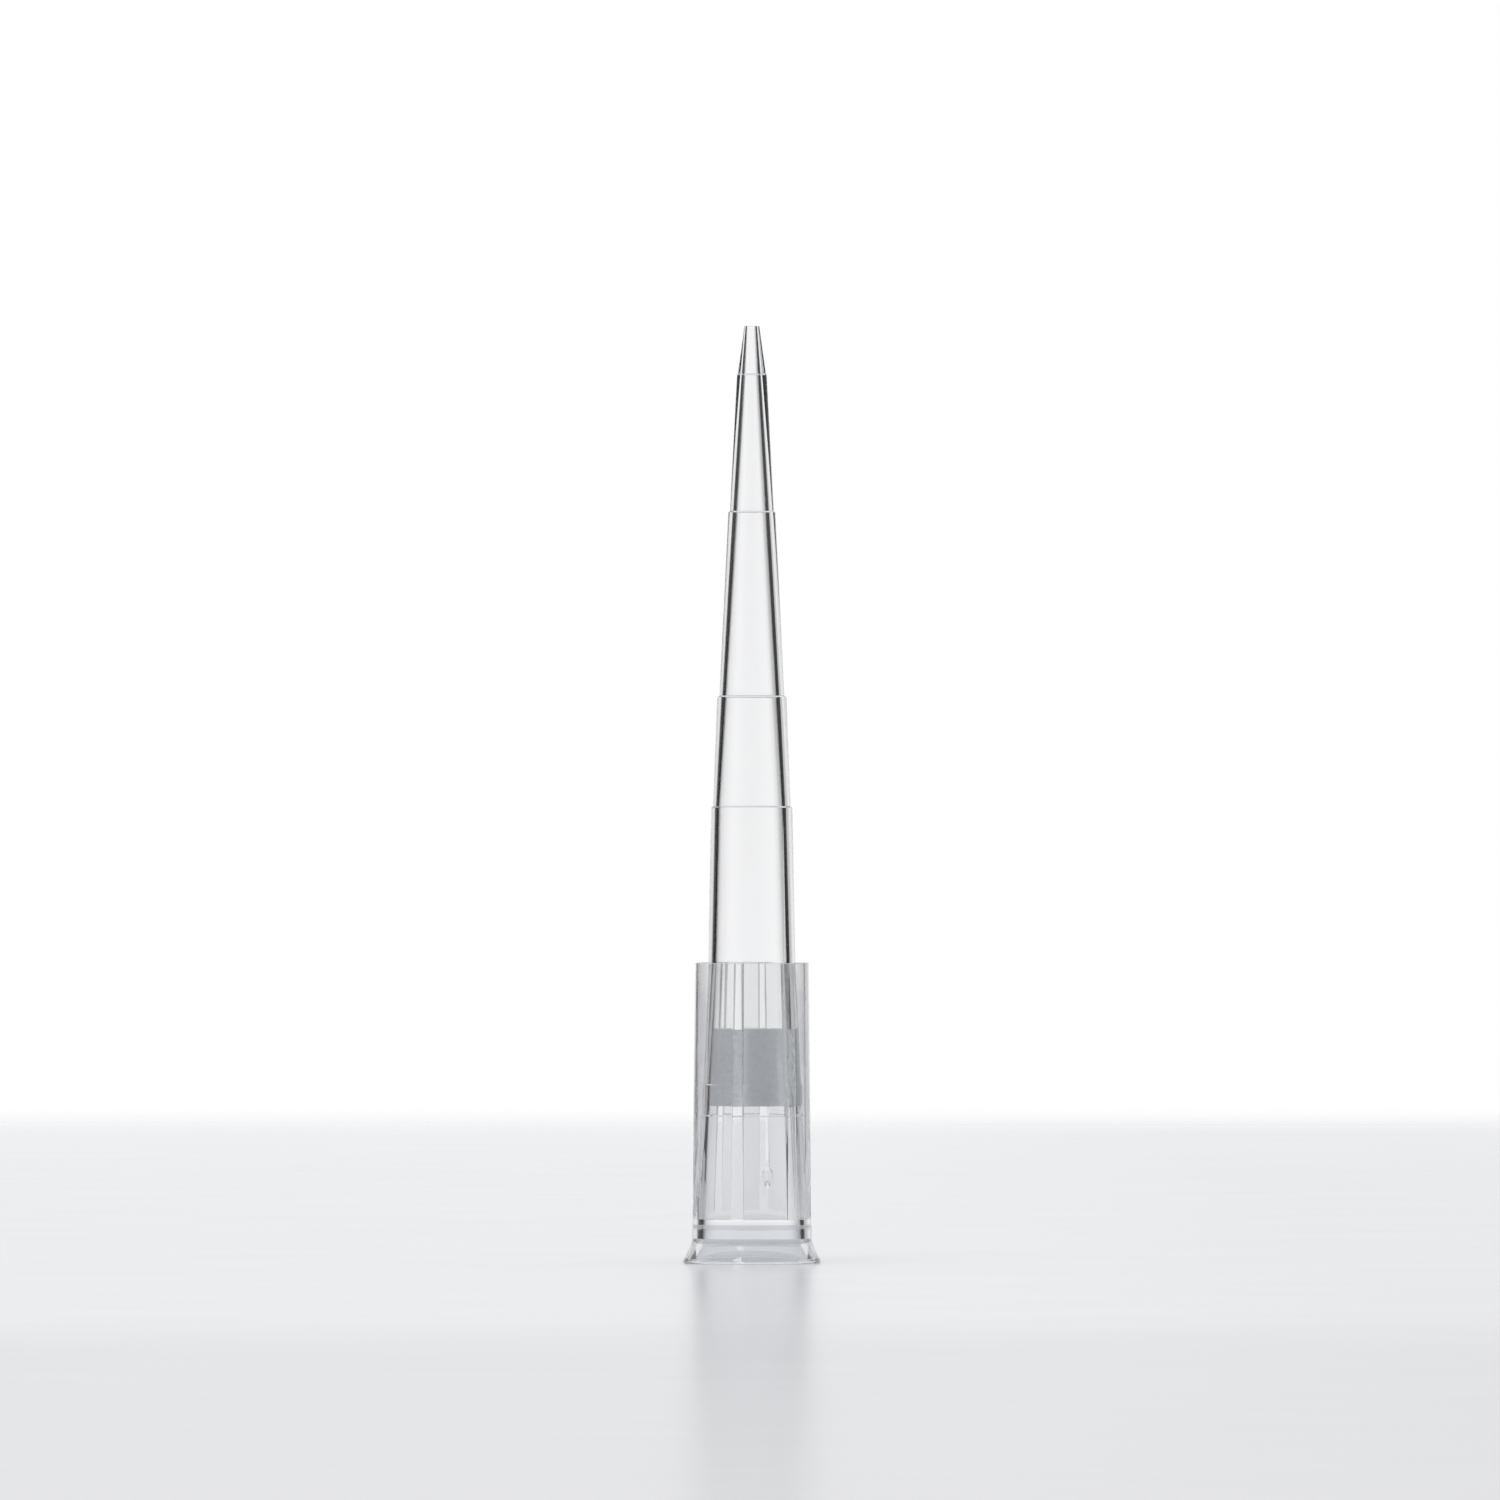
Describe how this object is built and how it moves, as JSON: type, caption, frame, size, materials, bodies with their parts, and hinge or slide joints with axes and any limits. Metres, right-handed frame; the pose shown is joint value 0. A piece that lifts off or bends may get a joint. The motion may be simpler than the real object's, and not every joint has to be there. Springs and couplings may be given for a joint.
{
  "type": "filter pipette tip",
  "caption": "Clear tapered pipette tip with a ribbed skirt, a flared foot and a grey filter plug, standing on its mouth with the orifice up.",
  "frame": {"origin": "middle of the foot, on the tip's axis, in the plane that the flange stands on", "axes": "+Z along the tip's axis, from the wide mouth at the foot up to the orifice; +X and +Y across it, with the gate mark towards -Y"},
  "size_m": [0.0074, 0.0074, 0.05],
  "materials": {
    "clear_polypropylene": "clear natural polypropylene, glossy inside and out, with fine moulded rings",
    "sintered_polyethylene": "white sintered polyethylene beads, porous and matt, grey where it is seen through the wall"
  },
  "bodies": {
    "root": {"tip_body": "clear_polypropylene", "filter_plug": "sintered_polyethylene"}
  },
  "joints": []
}
